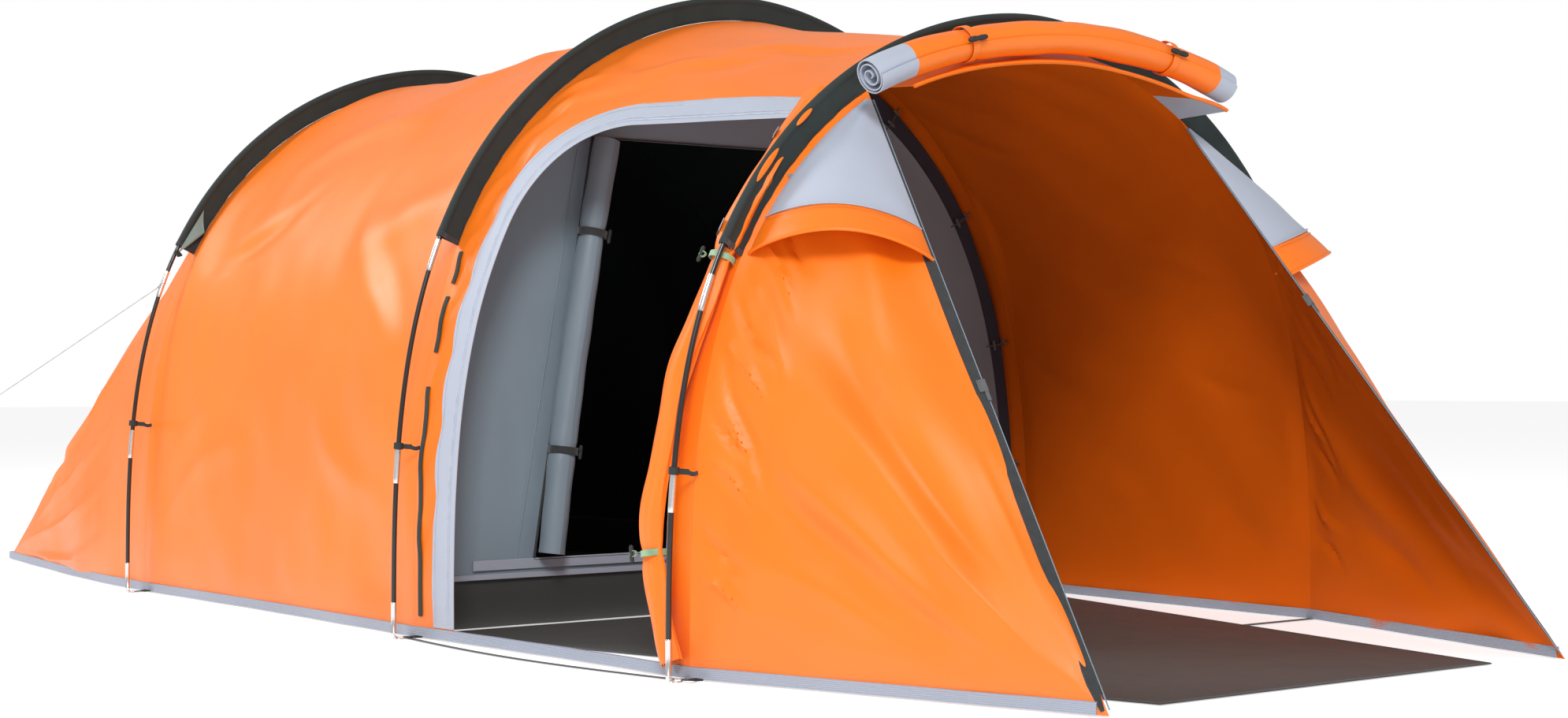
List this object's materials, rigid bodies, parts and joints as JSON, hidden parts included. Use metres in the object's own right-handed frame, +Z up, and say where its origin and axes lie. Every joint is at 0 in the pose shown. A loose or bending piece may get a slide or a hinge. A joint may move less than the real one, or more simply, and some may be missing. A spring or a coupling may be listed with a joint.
{
  "type": "tunnel tent",
  "caption": "Tunnel tent on poles: sleeved hoops, closed rear end, open front porch between wings, side door, vent hoods and an inner bedroom tent.",
  "frame": {"origin": "on the ground at the middle of the tent's plan, halfway between its front and rear corners", "axes": "+X along the tent to the open front porch, -Y to the side with the side door, +Z up"},
  "size_m": [5.98, 3.2987, 1.9015],
  "materials": {
    "outer_fabric": "coated taffeta, soft satin",
    "trim_fabric": "coated taffeta, soft satin",
    "sleeve_fabric": "plain weave, matt",
    "inner_fabric": "breathable polyester, matt",
    "floor_fabric": "woven polyethylene, low sheen",
    "webbing": "woven ribbon",
    "black_rod": "glass-fibre rod, smooth",
    "bright_metal": "zinc plated",
    "dark_plastic": "moulded",
    "cord": "braided"
  },
  "bodies": {
    "tent": {"far_vent_hood": "trim_fabric", "far_wing_panel": "outer_fabric", "front_base_web_far": "webbing", "front_base_web_near": "webbing", "front_bay_cover": "outer_fabric", "front_door_header": "outer_fabric", "front_door_roll": "outer_fabric", "front_pole_arch": "black_rod", "front_pole_foot_far": "black_rod", "front_pole_foot_near": "black_rod", "front_pole_leg_far": "black_rod", "front_pole_leg_near": "black_rod", "front_pole_sleeve": "sleeve_fabric", "guy_line": "cord", "guy_peg": "bright_metal", "inner_canopy": "inner_fabric", "inner_door_roll": "trim_fabric", "inner_floor_tub": "floor_fabric", "inner_front_wall": "inner_fabric", "inner_rear_wall": "inner_fabric", "mid_base_web": "webbing", "mid_pole_arch": "black_rod", "mid_pole_foot_far": "black_rod", "mid_pole_foot_near": "black_rod", "mid_pole_leg_far": "black_rod", "mid_pole_leg_near": "black_rod", "mid_pole_sleeve": "sleeve_fabric", "near_vent_hood": "trim_fabric", "near_wing_panel": "outer_fabric", "porch_groundsheet": "floor_fabric", "rear_base_web": "webbing", "rear_bay_cover": "outer_fabric", "rear_end_panel": "outer_fabric", "rear_pole_arch": "black_rod", "rear_pole_foot_far": "black_rod", "rear_pole_foot_near": "black_rod", "rear_pole_leg_far": "black_rod", "rear_pole_leg_near": "black_rod", "rear_pole_sleeve": "sleeve_fabric", "side_door_roll": "outer_fabric", "side_door_trim": "trim_fabric", "side_web_far": "webbing", "side_web_near": "webbing"},
    "front_peg_ring_near_body": {"front_peg_ring_near": "bright_metal"},
    "front_peg_ring_far_body": {"front_peg_ring_far": "bright_metal"},
    "mid_peg_ring_near_body": {"mid_peg_ring_near": "bright_metal"},
    "mid_peg_ring_far_body": {"mid_peg_ring_far": "bright_metal"},
    "rear_peg_ring_near_body": {"rear_peg_ring_near": "bright_metal"},
    "rear_peg_ring_far_body": {"rear_peg_ring_far": "bright_metal"},
    "front_roll_toggle_near_body": {"front_roll_toggle_near": "dark_plastic"},
    "front_roll_toggle_far_body": {"front_roll_toggle_far": "dark_plastic"},
    "side_roll_toggle_upper_body": {"side_roll_toggle_upper": "dark_plastic"},
    "side_roll_toggle_lower_body": {"side_roll_toggle_lower": "dark_plastic"},
    "inner_roll_toggle_upper_body": {"inner_roll_toggle_upper": "dark_plastic"},
    "inner_roll_toggle_lower_body": {"inner_roll_toggle_lower": "dark_plastic"},
    "near_vent_prop_body": {"near_vent_prop": "dark_plastic"},
    "far_vent_prop_body": {"far_vent_prop": "dark_plastic"},
    "front_zip_slider_near_body": {"front_zip_slider_near": "dark_plastic"},
    "front_zip_slider_far_body": {"front_zip_slider_far": "dark_plastic"},
    "guy_slider_body": {"guy_slider": "dark_plastic"}
  },
  "joints": [
    {"name": "front_peg_ring_near_swing", "type": "hinge", "parent": "tent", "child": "front_peg_ring_near_body", "pos_m": [1.93, -1.2024, 0.0024], "axis": [0, 1, 0], "range_deg": [-100, 0]},
    {"name": "front_peg_ring_far_swing", "type": "hinge", "parent": "tent", "child": "front_peg_ring_far_body", "pos_m": [1.93, 1.2024, 0.0024], "axis": [0, 1, 0], "range_deg": [-100, 0]},
    {"name": "mid_peg_ring_near_swing", "type": "hinge", "parent": "tent", "child": "mid_peg_ring_near_body", "pos_m": [0.67, -1.2474, 0.0024], "axis": [0, 1, 0], "range_deg": [-100, 0]},
    {"name": "mid_peg_ring_far_swing", "type": "hinge", "parent": "tent", "child": "mid_peg_ring_far_body", "pos_m": [0.67, 1.2474, 0.0024], "axis": [0, 1, 0], "range_deg": [-100, 0]},
    {"name": "rear_peg_ring_near_swing", "type": "hinge", "parent": "tent", "child": "rear_peg_ring_near_body", "pos_m": [-1.2, -1.2424, 0.0024], "axis": [0, 1, 0], "range_deg": [-100, 0]},
    {"name": "rear_peg_ring_far_swing", "type": "hinge", "parent": "tent", "child": "rear_peg_ring_far_body", "pos_m": [-1.2, 1.2424, 0.0024], "axis": [0, 1, 0], "range_deg": [-100, 0]},
    {"name": "front_roll_toggle_near_swivel", "type": "hinge", "parent": "tent", "child": "front_roll_toggle_near_body", "pos_m": [2.11708, -0.38756, 1.57597], "axis": [0.9815, -0.0414, 0.1871], "range_deg": [-60, 60]},
    {"name": "front_roll_toggle_far_swivel", "type": "hinge", "parent": "tent", "child": "front_roll_toggle_far_body", "pos_m": [2.11706, 0.35377, 1.60079], "axis": [0.9811, 0.0318, 0.1909], "range_deg": [-60, 60]},
    {"name": "side_roll_toggle_upper_swivel", "type": "hinge", "parent": "tent", "child": "side_roll_toggle_upper_body", "pos_m": [1.81593, -1.03418, 1.02482], "axis": [-0.9751, -0.193, 0.1093], "range_deg": [-60, 60]},
    {"name": "side_roll_toggle_lower_swivel", "type": "hinge", "parent": "tent", "child": "side_roll_toggle_lower_body", "pos_m": [1.74032, -1.18943, 0.2926], "axis": [-0.9574, -0.249, -0.1461], "range_deg": [-60, 60]},
    {"name": "inner_roll_toggle_upper_swivel", "type": "hinge", "parent": "tent", "child": "inner_roll_toggle_upper_body", "pos_m": [0.6946, -0.5536, 1.13833], "axis": [0.3359, 0.9245, -0.1802], "range_deg": [-60, 60]},
    {"name": "inner_roll_toggle_lower_swivel", "type": "hinge", "parent": "tent", "child": "inner_roll_toggle_lower_body", "pos_m": [0.69444, -0.65608, 0.50521], "axis": [0.3327, 0.9354, -0.1195], "range_deg": [-60, 60]},
    {"name": "near_vent_prop_fold", "type": "hinge", "parent": "tent", "child": "near_vent_prop_body", "pos_m": [2.05626, -0.78292, 1.13372], "axis": [0.7257, 0.684, -0.074], "range_deg": [0, 84]},
    {"name": "far_vent_prop_fold", "type": "hinge", "parent": "tent", "child": "far_vent_prop_body", "pos_m": [2.05626, 0.78292, 1.13372], "axis": [0.7257, -0.684, -0.074], "range_deg": [-84, 0]},
    {"name": "front_zip_near_slide", "type": "slide", "parent": "tent", "child": "front_zip_slider_near_body", "axis": [0.592, -0.1329, -0.7949], "range_m": [-0.26, 0.76]},
    {"name": "front_zip_far_slide", "type": "slide", "parent": "tent", "child": "front_zip_slider_far_body", "axis": [0.592, 0.1329, -0.7949], "range_m": [0, 1.05]},
    {"name": "guy_slider_slide", "type": "slide", "parent": "tent", "child": "guy_slider_body", "axis": [-0.7772, -0.419, -0.4695], "range_m": [-0.9, 0.36]}
  ]
}
